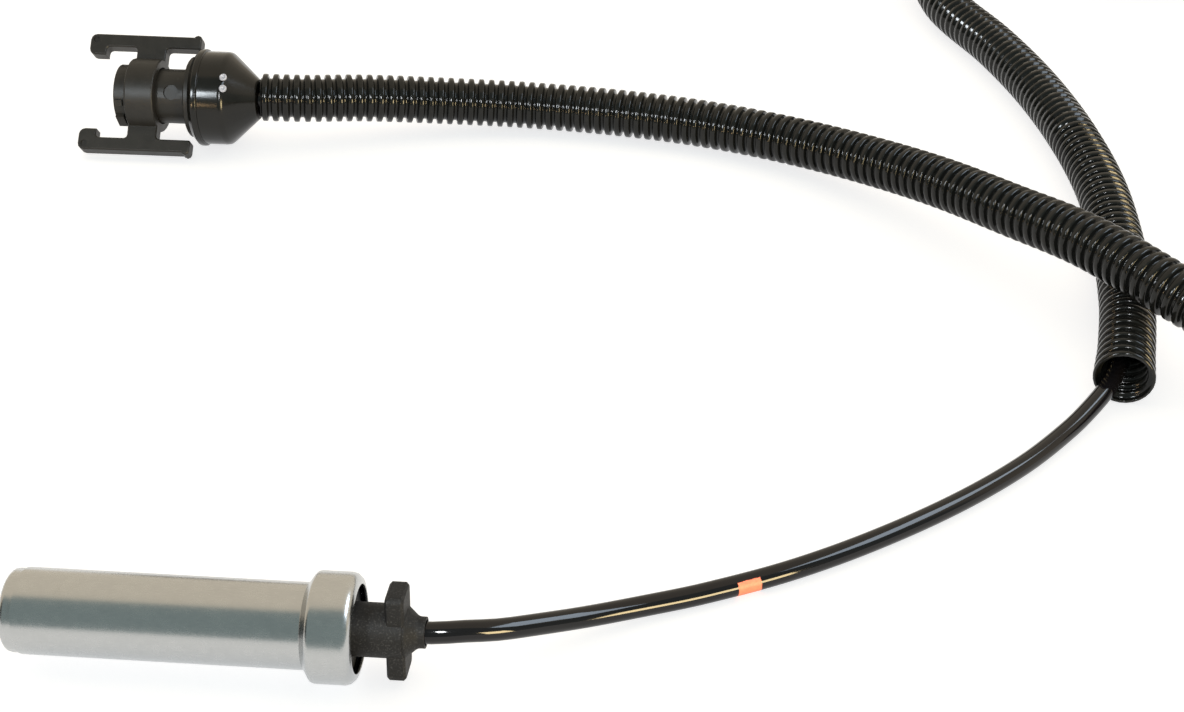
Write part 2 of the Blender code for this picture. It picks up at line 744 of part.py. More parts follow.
def arm_outline():
    """One arm and its web, with the hook at the front and the small bump at the rear."""
    front = RING_FRONT_X - ARM_FRONT_REACH
    rear = front + ARM_LENGTH
    inner = ARM_OUTER - ARM_THICKNESS
    tip = inner - HOOK_REACH
    root = (SHELL_D / 2 + RING_D / 2) / 2
    bump_x = rear - ARM_BUMP_R
    bump = [
        (
            bump_x + ARM_BUMP_R * math.cos(math.radians(angle)),
            ARM_OUTER + ARM_BUMP_HEIGHT - ARM_BUMP_R + ARM_BUMP_R * math.sin(math.radians(angle)),
        )
        for angle in ARM_BUMP_ANGLES
    ]
    corners = [
        (RING_FRONT_X, root),
        (RING_REAR_X, root),
        (RING_REAR_X, inner, WEB_ROUND),
        (rear, inner, WEB_ROUND / 2),
        *bump,
        (front, ARM_OUTER, HOOK_ROUND),
        (front, tip, HOOK_ROUND),
        (front + HOOK_LENGTH, tip),
        (front + HOOK_LENGTH, inner, WEB_ROUND),
        (RING_FRONT_X, inner, WEB_ROUND),
    ]
    return rounded(corners)


def make_latch_ring(place):
    """The band and its two arms, one moulding."""
    band = turned(
        "latch_ring",
        [
            (RING_FRONT_X, SHELL_D / 2 + GAP),
            (RING_FRONT_X, RING_D / 2, RING_ROUND),
            (RING_REAR_X, RING_D / 2, RING_ROUND),
            (RING_REAR_X, SHELL_D / 2 + GAP),
        ],
        plug_plastic(),
        place,
    )
    band.rotation_euler = (ARM_ROLL, 0, 0)
    hook_x = RING_FRONT_X - ARM_FRONT_REACH + HOOK_ROUND
    for name, side in (("near_arm", 0), ("far_arm", math.pi)):
        arm = plate(name, arm_outline(), -ARM_WIDTH / 2, ARM_WIDTH / 2, None, place, ARM_EDGE)
        arm.rotation_euler = (ARM_ROLL + math.pi + side, 0, 0)
        combine(band, arm, "UNION")
        hole = rod(
            f"{name}_dimple",
            -HOOK_DIMPLE_DEPTH,
            CUT_PAST,
            HOOK_DIMPLE_R,
            None,
            place,
            HOOK_DIMPLE_STEPS,
        )
        hole.rotation_mode = "QUATERNION"
        seen_face = Vector((0, -math.sin(ARM_ROLL), math.cos(ARM_ROLL)))
        along_arm = Vector((0, -math.cos(ARM_ROLL + side), -math.sin(ARM_ROLL + side)))
        reach = ARM_OUTER - HOOK_ROUND
        hole.location = (
            Vector(place) + Vector((hook_x, 0, 0)) + along_arm * reach + seen_face * ARM_WIDTH / 2
        )
        hole.rotation_quaternion = Vector((1, 0, 0)).rotation_difference(seen_face)
        combine(band, hole, "DIFFERENCE")


def make_plug_inside(place):
    """The insulator, retainer and seal, each with two passages, and the contacts with their leads."""
    insert = rod("contact_insert", INSERT_X, INSERT_END_X, INNER_R, inner_plastic(), place, TURN_STEPS)
    retainer = rod("contact_retainer", RETAINER_X, RETAINER_END_X, INNER_R, inner_plastic(), place, TURN_STEPS)
    seal = rod("wire_seal", WIRE_SEAL_X, WIRE_SEAL_END_X, INNER_R, seal_rubber(), place, TURN_STEPS)
    for suffix, side in (("a", -1), ("b", 1)):
        offset = side * CONTACT_OFFSET
        seat = Vector(place) + Vector((0, offset, 0))
        for target, start, end, radius in (
            (insert, INSERT_X, INSERT_END_X, CONTACT_D / 2 + GAP),
            (retainer, RETAINER_X, RETAINER_END_X, BARREL_D / 2 + GAP),
            (seal, WIRE_SEAL_X, WIRE_SEAL_END_X, CORE_D / 2 + GAP),
        ):
            name = f"{target.name}_bore_{suffix}"
            bore = rod(name, start - CUT_PAST, end + CUT_PAST, radius, None, seat)
            combine(target, bore, "DIFFERENCE")
        turned(
            f"contact_{suffix}",
            [
                (CONTACT_X + CONTACT_BORE_DEPTH, 0.0),
                (CONTACT_X + CONTACT_BORE_DEPTH, CONTACT_BORE_D / 2),
                (CONTACT_X, CONTACT_BORE_D / 2),
                (CONTACT_X, CONTACT_D / 2),
                (BARREL_X, CONTACT_D / 2),
                (BARREL_X, BARREL_D / 2),
                (BARREL_REAR_X, BARREL_D / 2),
                (BARREL_REAR_X, CORE_D / 2 + GAP),
                (LEAD_X - GAP, CORE_D / 2 + GAP),
                (LEAD_X - GAP, 0.0),
            ],
            brass(),
            seat,
            SMALL_TURN_STEPS,
        )
        leaves_seal = (WIRE_SEAL_END_X + GAP, PLUG_Y + offset, PLUG_Z)
        reaches_bore = (LEADS_MEET_X, PLUG_Y + side * CORE_OFFSET, PLUG_Z)
        lead_points = [
            (LEAD_X, PLUG_Y + offset, PLUG_Z),
            *eased(leaves_seal, reaches_bore),
            (LEAD_END_X, PLUG_Y + side * CORE_OFFSET, PLUG_Z),
        ]
        tube(f"lead_{suffix}", lead_points, CORE_D, core_jacket())


def make_boot(place):
    """The rubber boot: rim over the shell's flange, hollow cylinder, and cone down to the conduit."""
    flange_bore = SHELL_FLANGE_D / 2 + GAP
    cavity_r = BOOT_D / 2 - BOOT_WALL
    turned(
        "connector_boot",
        [
            (BOOT_FRONT_X, flange_bore),
            (BOOT_FRONT_X, flange_bore + BOOT_LIP_EDGE),
            (BOOT_FRONT_X + BOOT_LIP_LENGTH, BOOT_RIM_D / 2, BOOT_RIM_ROUND),
            (BOOT_FRONT_X + BOOT_RIM_LENGTH, BOOT_RIM_D / 2, BOOT_RIM_ROUND),
            (BOOT_FRONT_X + BOOT_RIM_LENGTH, BOOT_D / 2),
            (BOOT_CONE_X, BOOT_D / 2, BOOT_WALL),
            (PLUG_REAR_X, BOOT_END_D / 2),
            (PLUG_REAR_X, CABLE_BORE_R),
            (BOOT_CAVITY_END_X, CABLE_BORE_R),
            (BOOT_CAVITY_END_X, cavity_r),
            (BOOT_CAVITY_X, cavity_r),
            (BOOT_CAVITY_X, flange_bore),
        ],
        boot_rubber(),
        place,
    )


def make_cable():
    jacket_front = Vector((JACKET_FRONT_X, 0, HEAD_Z))
    leaves_nozzle = Vector((NOZZLE_END_X + CABLE_D / 4, 0, HEAD_Z))
    route = [leaves_nozzle, *in_metres(CABLE_ROUTE)]
    points = [jacket_front, *spaced(smooth_curve(route), CABLE_POINT_SPACING)]
    tube("sensor_cable", points, CABLE_D, cable_jacket())


def make_conduit():
    """Both runs of the conduit, and the coil between them as one turned ring."""
    coil_x, coil_y = COIL_CENTRE
    stub = CONDUIT_D / 4
    at_boot = Vector((PLUG_REAR_X + GAP, PLUG_Y, PLUG_Z))
    enters_coil = Vector((coil_x + COIL_R, coil_y - COIL_REACH, CONDUIT_REST_Z))
    leaves_coil = Vector((coil_x - COIL_R, coil_y - COIL_REACH, COIL_TOP_Z))
    along_x = Vector((stub, 0, 0))
    along_y = Vector((0, stub, 0))
    connector_run = [at_boot + along_x, *in_metres(CONNECTOR_RUN_ROUTE), enters_coil - along_y]
    mouth_run = [leaves_coil - along_y, *in_metres(MOUTH_RUN_ROUTE)]
    connector_points = [at_boot, *spaced(smooth_curve(connector_run), CONDUIT_POINT_SPACING), enters_coil]
    mouth_points = [leaves_coil, *spaced(smooth_curve(mouth_run), CONDUIT_POINT_SPACING)]
    tube("conduit_connector_run", connector_points, CONDUIT_D, conduit_plastic(), 4)
    tube("conduit_mouth_run", mouth_points, CONDUIT_D, conduit_plastic(), 4)
    tube_r = CONDUIT_D / 2
    height = COIL_LAYERS * CONDUIT_D
    edge = tube_r * COIL_EDGE_SHARE
    outline = rounded([
        (0.0, COIL_R - tube_r, edge),
        (0.0, COIL_R + tube_r, edge),
        (height, COIL_R + tube_r, edge),
        (height, COIL_R - tube_r, edge),
    ])
    corners = [tuple(point) for point in outline]
    coil = turned("conduit_coil", corners, conduit_plastic(), (coil_x, coil_y, FLOOR_GAP), COIL_STEPS)
    coil.rotation_euler = (0, math.radians(-90), 0)


def main():
    for old in list(bpy.data.objects):
        bpy.data.objects.remove(old)
    head = (0.0, 0.0, HEAD_Z)
    plug = (0.0, PLUG_Y, PLUG_Z)
    make_sleeve(head)
    make_coil_group(head)
    make_terminals(head)
    make_sensor_body(head)
    make_cable()
    make_conduit()
    make_boot(plug)
    make_shell(plug)
    make_latch_ring(plug)
    make_plug_inside(plug)


main()
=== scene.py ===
"""The speed sensor's looks: its finishes, corrugated conduit, cable, light and camera."""

import json
import math

import bmesh
import bpy
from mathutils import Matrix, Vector


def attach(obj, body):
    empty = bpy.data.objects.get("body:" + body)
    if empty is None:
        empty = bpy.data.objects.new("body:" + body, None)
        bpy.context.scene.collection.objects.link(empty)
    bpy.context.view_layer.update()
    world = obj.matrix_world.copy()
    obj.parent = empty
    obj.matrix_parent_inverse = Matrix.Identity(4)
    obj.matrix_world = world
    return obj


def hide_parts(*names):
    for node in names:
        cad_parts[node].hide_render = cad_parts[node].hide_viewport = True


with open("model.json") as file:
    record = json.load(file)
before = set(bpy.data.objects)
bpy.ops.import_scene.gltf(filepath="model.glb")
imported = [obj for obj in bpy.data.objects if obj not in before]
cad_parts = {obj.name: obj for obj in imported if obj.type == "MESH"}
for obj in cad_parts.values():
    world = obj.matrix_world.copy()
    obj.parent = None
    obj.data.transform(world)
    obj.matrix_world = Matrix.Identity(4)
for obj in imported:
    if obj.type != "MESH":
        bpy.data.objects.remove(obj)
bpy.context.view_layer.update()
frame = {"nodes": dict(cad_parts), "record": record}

MM = 0.001

# Camera of the photograph
CAMERA_PLACE = (89.08 * MM, -247.29 * MM, 247.0 * MM)
CAMERA_TURN = (math.radians(55.0), 0.0, math.radians(4.603))
CAMERA_LENS = 57.16
CAMERA_SENSOR = 36.0
CAMERA_SHIFT = -0.0025  # of the picture's width
CAMERA_CLIP = 10.0 * MM

# Places of the head and of the plug, as in the part
HEAD_Z = 10.3 * MM
NOZZLE_END_X = 38.5 * MM
PLUG_Y = 198.7 * MM
PLUG_Z = 13.0 * MM
PLUG_REAR_X = -37.4 * MM
BOOT_D = 24.9 * MM
TURNS_SIZE = 3.2 * MM  # of the winding's bands

# Two small round pips on the boot's side: place along X and angle above the front
PIPS = [(-44.5 * MM, math.radians(53.3)), (-44.3 * MM, math.radians(39.2))]
# A pip's section, as radius and height in millimetres
PIP_PROFILE = [(1.0, -0.1), (1.0, 0.3), (0.8, 0.5), (0.55, 0.5), (0.4, 0.25)]
PIP_SIDES = 28

# Cable
CABLE_D = 4.2 * MM
CABLE_IN_NOZZLE = 8.0 * MM
CABLE_END_X = -43.7 * MM
CABLE_SIDES = 20
CABLE_STEP = 3.0 * MM
CABLE_DROP = 2.6 * MM  # how far below the conduit's centre line it lies
CABLE_SETTLES_FROM = 15.0 * MM  # behind the conduit's mouth
CABLE_RISES_FROM = 30.0 * MM  # before the conduit's other end
CABLE_INSIDE_STEP = 6.0 * MM
CABLE_INSIDE_CURVE_STEPS = 4

# Painted mark on the cable's front: its middle, and the ways along the cable and out of the mark
PAINT_MARK = (96.3 * MM, 27.3 * MM, 2.2 * MM)
PAINT_MARK_ALONG = (0.90, 0.434, 0.0)
PAINT_MARK_FACING = (0.347, -0.719, -0.602)
PAINT_MARK_HALF = 2.4 * MM
PAINT_MARK_BLUR = 0.12 * MM

# Conduit
CONDUIT_D = 13.2 * MM
CREST_R = 6.4 * MM
VALLEY_R = 5.15 * MM
CONDUIT_WALL = 0.45 * MM
PITCH = 2.77 * MM
CONDUIT_SIDES = 28
CONDUIT_STEP = 1.0 * MM
CONDUIT_END = (PLUG_REAR_X + 0.3 * MM, PLUG_Y + 0.4 * MM, PLUG_Z + 0.5 * MM)
# Rings of one corrugation: share of its length, and height from the valley to the crest
FINE_RINGS = (
    (0.00, 0.66),
    (0.05, 0.91),
    (0.15, 0.99),
    (0.41, 0.99),
    (0.51, 0.91),
    (0.56, 0.66),
    (0.62, 0.10),
    (0.69, 0.00),
    (0.87, 0.00),
    (0.94, 0.10),
)
PLAIN_RINGS = ((0.0, 1.0), (0.52, 1.0), (0.64, 0.0), (0.88, 0.0))
LAST_VALLEY_CUT = 0.26  # of a corrugation, left off where the conduit meets the boot
MOUTH_FLARE = 0.35 * MM
MOUTH_FLARE_LENGTH = 9.0 * MM
FINE_FROM_MOUTH = 110.0 * MM
FINE_FROM_BOOT = 370.0 * MM
OPEN_LENGTH = 40.0 * MM  # of the bore that is made behind the mouth
COIL_CENTRE = (215.0 * MM, 392.0 * MM)
COIL_R = 71.0 * MM
COIL_ENTRY_Y = 348.2 * MM
COIL_LOW_Z = 6.7 * MM
COIL_TOP_Z = 19.9 * MM
COIL_HALF_TURNS = 3
COIL_STEPS = 60

# Routes in millimetres
CABLE_ROUTE = [
    (45.0, 1.3, 9.9),
    (51.0, 3.6, 8.6),
    (57.5, 7.5, 6.7),
    (66.4, 12.9, 4.3),
    (77.2, 18.6, 2.7),
    (88.3, 23.5, 2.2),
    (104.9, 31.5, 2.2),
    (121.5, 41.8, 2.2),
    (138.8, 54.8, 2.2),
    (153.6, 68.5, 2.2),
    (164.9, 81.7, 2.5),
    (171.2, 90.0, 3.6),
    (175.0, 95.6, 4.7),
]
CONNECTOR_RUN_ROUTE = [
    (-25.7, 200.9, 12.7),
    (-10.0, 205.3, 11.2),
    (10.0, 210.2, 8.7),
    (34.0, 212.9, 6.9),
    (60.0, 210.6, 6.7),
    (82.1, 206.3, 6.7),
    (103.4, 198.2, 7.4),
    (123.4, 184.9, 9.8),
    (141.6, 167.8, 13.4),
    (157.7, 148.7, 17.0),
    (173.0, 130.9, 19.8),
    (190.1, 109.5, 20.0),
    (210.0, 94.2, 16.0),
    (234.5, 88.8, 10.5),
    (263.5, 96.6, 6.8),
    (284.7, 117.8, 6.7),
    (292.5, 146.8, 6.7),
    (292.0, 200.0, 6.7),
    (288.5, 260.0, 6.7),
    (286.2, 315.0, 6.7),
]
MOUTH_RUN_ROUTE = [
    (144.3, 334.0, 18.4),
    (146.2, 318.0, 13.2),
    (149.3, 302.0, 8.6),
    (153.4, 286.8, 6.8),
    (164.9, 261.4, 6.7),
    (174.0, 235.3, 6.7),
    (180.4, 208.2, 6.7),
    (184.2, 180.3, 6.7),
    (184.6, 153.0, 6.7),
    (183.0, 126.7, 6.7),
    (180.7, 110.8, 6.7),
    (177.8, 95.5, 6.7),
]


def smooth_curve(points, steps=12):
    """Points of a smooth curve through the given ones, each stretch leaning on its neighbours."""
    known = [Vector(point) for point in points]
    ends = [2 * known[0] - known[1], *known, 2 * known[-1] - known[-2]]
    curve = []
    for before, start, end, after in zip(ends, ends[1:], ends[2:], ends[3:]):
        reach = (end - start).length
        lean_in = (end - before) / ((start - before).length + reach) * reach
        lean_out = (after - start) / ((after - end).length + reach) * reach
        for step in range(steps):
            t = step / steps
            curve.append(
                start * (2 * t**3 - 3 * t**2 + 1)
                + lean_in * (t**3 - 2 * t**2 + t)
                + end * (3 * t**2 - 2 * t**3)
                + lean_out * (t**3 - t**2)
            )
    curve.append(known[-1])
    return curve


def lengths_along(line):
    """The distance from the line's start to each of its points."""
    lengths = [0.0]
    for start, end in zip(line, line[1:]):
        lengths.append(lengths[-1] + (end - start).length)
    return lengths


class Line:
    """A fine line with a frame that doesn't twist, read at any distance along it."""

    def __init__(self, points):
        self.points = [Vector(point) for point in points]
        self.lengths = lengths_along(self.points)
        self.length = self.lengths[-1]
        self.headings = []
        for index in range(len(self.points)):
            before = self.points[max(index - 1, 0)]
            after = self.points[min(index + 1, len(self.points) - 1)]
            self.headings.append((after - before).normalized())
        upward = Vector((0, 0, 1))
        self.ups = []
        for heading in self.headings:
            upward = (upward - heading * upward.dot(heading)).normalized()
            self.ups.append(upward)
        self.index = 0

    def at(self, distance):
        """The place, the heading and the up direction at a distance."""
        if self.lengths[self.index] > distance:
            self.index = 0
        while self.index < len(self.points) - 2 and self.lengths[self.index + 1] < distance:
            self.index += 1
        here = self.index
        stretch = self.lengths[here + 1] - self.lengths[here]
        share = (distance - self.lengths[here]) / stretch
        place = self.points[here].lerp(self.points[here + 1], share)
        heading = self.headings[here].lerp(self.headings[here + 1], share).normalized()
        upward = self.ups[here].lerp(self.ups[here + 1], share)
        upward = (upward - heading * upward.dot(heading)).normalized()
        return place, heading, upward

    def even(self, step):
        """Points at even distances, with both ends."""
        count = max(1, round(self.length / step))
        return [self.at(self.length * index / count)[0] for index in range(count + 1)]


def in_metres(route):
    """Points of a route that is written in millimetres."""
    return [Vector(point) * MM for point in route]


def conduit_line():
    """The conduit's centre line from its mouth, round the coil and back to the boot."""
    coil_x, coil_y = COIL_CENTRE
    enters = Vector((coil_x + COIL_R, COIL_ENTRY_Y, COIL_LOW_Z))
    leaves = Vector((coil_x - COIL_R, COIL_ENTRY_Y, COIL_TOP_Z))
    ahead = Vector((0, CONDUIT_D / 4, 0))
    coil = []
    steps = COIL_STEPS * COIL_HALF_TURNS
    for step in range(steps + 1):
        angle = math.pi * COIL_HALF_TURNS * step / steps
        climb = min(max(angle / math.pi - 1, 0), 1)
        lift = (1 - math.cos(math.pi * climb)) / 2
        coil.append(Vector((
            coil_x + COIL_R * math.cos(angle),
            coil_y + COIL_R * math.sin(angle),
            COIL_LOW_Z + (COIL_TOP_Z - COIL_LOW_Z) * lift,
        )))
    connector_run = smooth_curve([CONDUIT_END, *in_metres(CONNECTOR_RUN_ROUTE), enters - ahead, enters])
    mouth_run = smooth_curve([leaves, leaves - ahead, *in_metres(MOUTH_RUN_ROUTE)])
    whole = [*connector_run, *coil, *mouth_run]
    whole.reverse()
    return Line(Line(whole).even(CONDUIT_STEP))


def cable_line(conduit):
    """The cable's centre line from inside the nozzle, through the conduit and into the boot."""
    start = Vector((NOZZLE_END_X - CABLE_IN_NOZZLE, 0, HEAD_Z))
    leaves = Vector((NOZZLE_END_X + CABLE_D / 4, 0, HEAD_Z))
    bare = smooth_curve([start, leaves, *in_metres(CABLE_ROUTE)])
    inside = []
    distance = CABLE_SETTLES_FROM
    while distance < conduit.length - CABLE_RISES_FROM:
        place, _, upward = conduit.at(distance)
        inside.append(place - upward * CABLE_DROP)
        distance += CABLE_INSIDE_STEP
    end = Vector((CABLE_END_X, PLUG_Y, PLUG_Z))
    before_end = Vector((PLUG_REAR_X, PLUG_Y, PLUG_Z))
    hidden = smooth_curve([bare[-2], bare[-1], *inside, before_end, end], CABLE_INSIDE_CURVE_STEPS)
    after_bare = CABLE_INSIDE_CURVE_STEPS + 1
    return Line(Line([*bare, *hidden[after_bare:]]).even(CABLE_STEP))


def mesh_object(name, bm):
    """A smooth mesh piece that rides on the root body."""
    mesh = bpy.data.meshes.new(name)
    bm.to_mesh(mesh)
    bm.free()
    mesh.shade_smooth()
    made = bpy.data.objects.new(name, mesh)
    bpy.context.scene.collection.objects.link(made)
    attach(made, "root")
    return made


def add_ring(bm, line, distance, radius, sides):
    """A round ring of corners square to the line."""
    place, heading, upward = line.at(distance)
    across = heading.cross(upward)
    ring = []
    for side in range(sides):
        angle = math.tau * side / sides
        ring.append(bm.verts.new(place + (across * math.cos(angle) + upward * math.sin(angle)) * radius))
    return ring


def join_rings(bm, first, second):
    """A band of four-sided faces between two rings."""
    sides = len(first)
    for side in range(sides):
        after = (side + 1) % sides
        bm.faces.new((first[side], first[after], second[after], second[side]))


def corrugations(line):
    """Distance and outer radius of each ring along the conduit."""
    count = round(line.length / PITCH)
    pitch = line.length / (count - LAST_VALLEY_CUT)
    rings = []
    for number in range(count):
        start = number * pitch
        near_mouth = start < FINE_FROM_MOUTH
        near_boot = line.length - start < FINE_FROM_BOOT
        flare = MOUTH_FLARE * max(0.0, 1 - start / MOUTH_FLARE_LENGTH)
        section = FINE_RINGS if near_mouth or near_boot else PLAIN_RINGS
        for share, height in section:
            rings.append((start + share * pitch, VALLEY_R + flare + (CREST_R - VALLEY_R) * height))
    return [ring for ring in rings if ring[0] < line.length] + [(line.length, VALLEY_R)]


def make_conduit(line):
    """The corrugated hose: one wall, with an open mouth that shows its bore."""
    bm = bmesh.new()
    outer = corrugations(line)
    previous = None
    lip = None
    for distance, radius in outer:
        ring = add_ring(bm, line, distance, radius, CONDUIT_SIDES)
        if previous:
            join_rings(bm, previous, ring)
        else:
            lip = ring
        previous = ring
    bm.faces.new(previous)
    previous = lip
    for distance, radius in outer:
        if distance > OPEN_LENGTH:
            break
        ring = add_ring(bm, line, distance, radius - CONDUIT_WALL, CONDUIT_SIDES)
        join_rings(bm, ring, previous)
        previous = ring
    bm.faces.new(previous)
    bmesh.ops.recalc_face_normals(bm, faces=bm.faces)
    hose = mesh_object("corrugated_conduit", bm)
    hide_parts("conduit_mouth_run", "conduit_coil", "conduit_connector_run")
    return hose


def make_cable(line):
    """The round cable, from the nozzle to the plug."""
    bm = bmesh.new()
    first = add_ring(bm, line, 0.0, CABLE_D / 2, CABLE_SIDES)
    bm.faces.new(first)
    previous = first
    for distance in line.lengths[1:]:
        ring = add_ring(bm, line, distance, CABLE_D / 2, CABLE_SIDES)
        join_rings(bm, previous, ring)
        previous = ring
    bm.faces.new(previous)
    bmesh.ops.recalc_face_normals(bm, faces=bm.faces)
    cable = mesh_object("sensor_lead", bm)
    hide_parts("sensor_cable")
    return cable


def make_pips():
    """The two studs on the boot's side, each with a shallow dimple in its top."""
    bm = bmesh.new()
    axis = Vector((0, PLUG_Y, PLUG_Z))
    along = Vector((1, 0, 0))
    for x, angle in PIPS:
        outward = Vector((0, -math.cos(angle), math.sin(angle)))
        around = along.cross(outward)
        foot = axis + along * x + outward * BOOT_D / 2
        previous = None
        for radius, height in PIP_PROFILE:
            ring = []
            for side in range(PIP_SIDES):
                turn = math.tau * side / PIP_SIDES
                reach = along * math.cos(turn) + around * math.sin(turn)
                ring.append(bm.verts.new(foot + (outward * height + reach * radius) * MM))
            if previous:
                join_rings(bm, previous, ring)
            else:
                bm.faces.new(ring)
            previous = ring
        bm.faces.new(previous)
    bmesh.ops.recalc_face_normals(bm, faces=bm.faces)
    pips = mesh_object("boot_pips", bm)
    return pips


# A Mix node's sockets for colours, which share their names with those for numbers
MIX_SHARE = 0
MIX_FIRST_COLOUR = 6
MIX_SECOND_COLOUR = 7
MIX_COLOUR = 2


class Value:
    """A socket of a node tree; arithmetic on it adds Math nodes."""

    def __init__(self, finish, socket):
        self.finish = finish
        self.socket = socket

    def math(self, operation, first, second):
        return self.finish.node("ShaderNodeMath", {"operation": operation}, {0: first, 1: second})

    def __add__(self, other):
        return self.math("ADD", self, other)

    __radd__ = __add__

    def __sub__(self, other):
        return self.math("SUBTRACT", self, other)

    def __rsub__(self, other):
        return self.math("SUBTRACT", other, self)

    def __mul__(self, other):
        return self.math("MULTIPLY", self, other)

    __rmul__ = __mul__


class Nodes:
    """The nodes of one tree, and the shader that they feed."""

    def __init__(self, owner, shader):
        owner.use_nodes = True
        self.tree = owner.node_tree
        self.shader = self.tree.nodes[shader]

    def node(self, kind, settings, sockets, output=0):
        """Any node: its settings first, then the values or links of its sockets."""
        made = self.tree.nodes.new(kind)
        for name, value in settings.items():
            if name == "stops":
                ramp = made.color_ramp
                ends = [(ramp.elements[0], value[0]), (ramp.elements[-1], value[-1])]
                for element, (place, shade) in ends:
                    element.position = place
                    element.color = (shade, shade, shade, 1.0)
                for place, shade in value[1:-1]:
                    ramp.elements.new(place).color = (shade, shade, shade, 1.0)
            else:
                setattr(made, name, value)
        for key, value in sockets.items():
            if isinstance(value, Value):
                self.tree.links.new(value.socket, made.inputs[key])
            else:
                made.inputs[key].default_value = value
        return Value(self, made.outputs[output])

    def feed(self, name, value):
        if isinstance(value, Value):
            self.tree.links.new(value.socket, self.shader.inputs[name])
        else:
            self.shader.inputs[name].default_value = value

    def place(self, stretch=(1.0, 1.0, 1.0)):
        here = self.node("ShaderNodeTexCoord", {}, {}, "Object")
        return self.node("ShaderNodeMapping", {}, {"Vector": here, "Scale": stretch})

    def fade(self, value, start, end):
        """1 where the value is at start, falling to 0 at end."""
        settings = {"interpolation_type": "SMOOTHSTEP"}
        sockets = {"Value": value, "From Min": start, "From Max": end, "To Min": 1.0, "To Max": 0.0}
        return self.node("ShaderNodeMapRange", settings, sockets)

    def noise(self, size, detail=2.0, rough=0.5, stretch=(1.0, 1.0, 1.0)):
        """Noise whose features are about that size, in metres."""
        sockets = {"Vector": self.place(stretch), "Scale": 1.0 / size, "Detail": detail, "Roughness": rough}
        return self.node("ShaderNodeTexNoise", {}, sockets)

    def ramp(self, value, *stops):
        return self.node("ShaderNodeValToRGB", {"stops": stops}, {"Fac": value})

    def blend(self, share, first, second):
        """A colour between two, by a mask."""
        first = first if isinstance(first, Value) else (*first, 1.0)
        second = second if isinstance(second, Value) else (*second, 1.0)
        sockets = {MIX_SHARE: share, MIX_FIRST_COLOUR: first, MIX_SECOND_COLOUR: second}
        return self.node("ShaderNodeMix", {"data_type": "RGBA"}, sockets, MIX_COLOUR)

    def bump(self, height, strength, distance):
        sockets = {"Height": height, "Strength": strength, "Distance": distance}
        self.feed("Normal", self.node("ShaderNodeBump", {}, sockets))


class Finish(Nodes):
    """A material around its Principled shader."""

    def __init__(self, name, roughness, metallic=0.0, coat=0.0, shine=0.5):
        self.material = bpy.data.materials.new(name)
        super().__init__(self.material, "Principled BSDF")
        self.feed("Specular IOR Level", shine)
        self.feed("Roughness", roughness)
        self.feed("Metallic", metallic)
        self.feed("Coat Weight", coat)


def drawn_steel():
    """Satin deep-drawn steel, with faint drawing lines, mottling and handling marks."""
    f = Finish("drawn_steel", 0.2, 1.0)
    grain = f.noise(0.35 * MM, 3.0, 0.6, (0.25, 1.0, 1.0))
    mottle = f.noise(2.5 * MM, 4.0, 0.6)
    marks = f.ramp(f.noise(5.0 * MM, 5.0, 0.75, (1.0, 0.4, 0.4)), (0.66, 0.0), (0.74, 1.0))
    tone = f.blend(grain * 0.5 + mottle * 0.5, (0.39, 0.40, 0.405), (0.53, 0.54, 0.54))
    f.feed("Base Color", f.blend(marks * 0.25, tone, (0.36, 0.36, 0.34)))
    f.feed("Roughness", 0.17 + grain * 0.1 + mottle * 0.08 + marks * 0.06)
    f.bump(grain * 0.6 + mottle * 0.4, 0.14, 0.02 * MM)
    return f.material


def plain_iron():
    """Bare soft iron of the pin and the magnet."""
    f = Finish("plain_iron", 0.4, 1.0)
    grain = f.noise(0.5 * MM, 3.0)
    f.feed("Base Color", f.blend(grain, (0.34, 0.34, 0.35), (0.46, 0.46, 0.47)))
    f.feed("Roughness", 0.32 + grain * 0.2)
    return f.material


def contact_brass():
    """Stamped brass of the terminals, splices and contacts."""
    f = Finish("contact_brass", 0.3, 1.0)
    grain = f.noise(0.4 * MM, 3.0)
    f.feed("Base Color", f.blend(grain, (0.66, 0.50, 0.22), (0.80, 0.65, 0.36)))
    f.feed("Roughness", 0.22 + grain * 0.18)
    return f.material


def winding_copper():
    """Lacquered wire, turn beside turn."""
    f = Finish("winding_copper", 0.3, 1.0, 0.3)
    settings = {"wave_type": "BANDS", "bands_direction": "X"}
    turns = f.node("ShaderNodeTexWave", settings, {"Vector": f.place(), "Scale": 1.0 / TURNS_SIZE}, "Fac")
    f.feed("Base Color", f.blend(turns, (0.42, 0.17, 0.08), (0.78, 0.40, 0.23)))
    f.bump(turns, 0.6, 0.08 * MM)
    return f.material


def spark_moulding():
    """Glass-filled plastic with a spark-eroded surface that catches fine light specks."""
    f = Finish("spark_moulding", 0.6, shine=0.2)
    spark = f.noise(0.22 * MM, 3.0, 0.65)
    pale = f.ramp(f.noise(0.32 * MM, 2.0, 0.6), (0.55, 0.0), (0.70, 1.0))
    cloud = f.noise(4.0 * MM, 2.0)
    tone = f.blend(cloud, (0.004, 0.0040, 0.0040), (0.008, 0.0078, 0.0077))
    f.feed("Base Color", f.blend(pale * 0.5, tone, (0.05, 0.049, 0.048)))
    f.feed("Roughness", 0.48 + spark * 0.24)
    f.bump(spark, 0.75, 0.07 * MM)
    return f.material


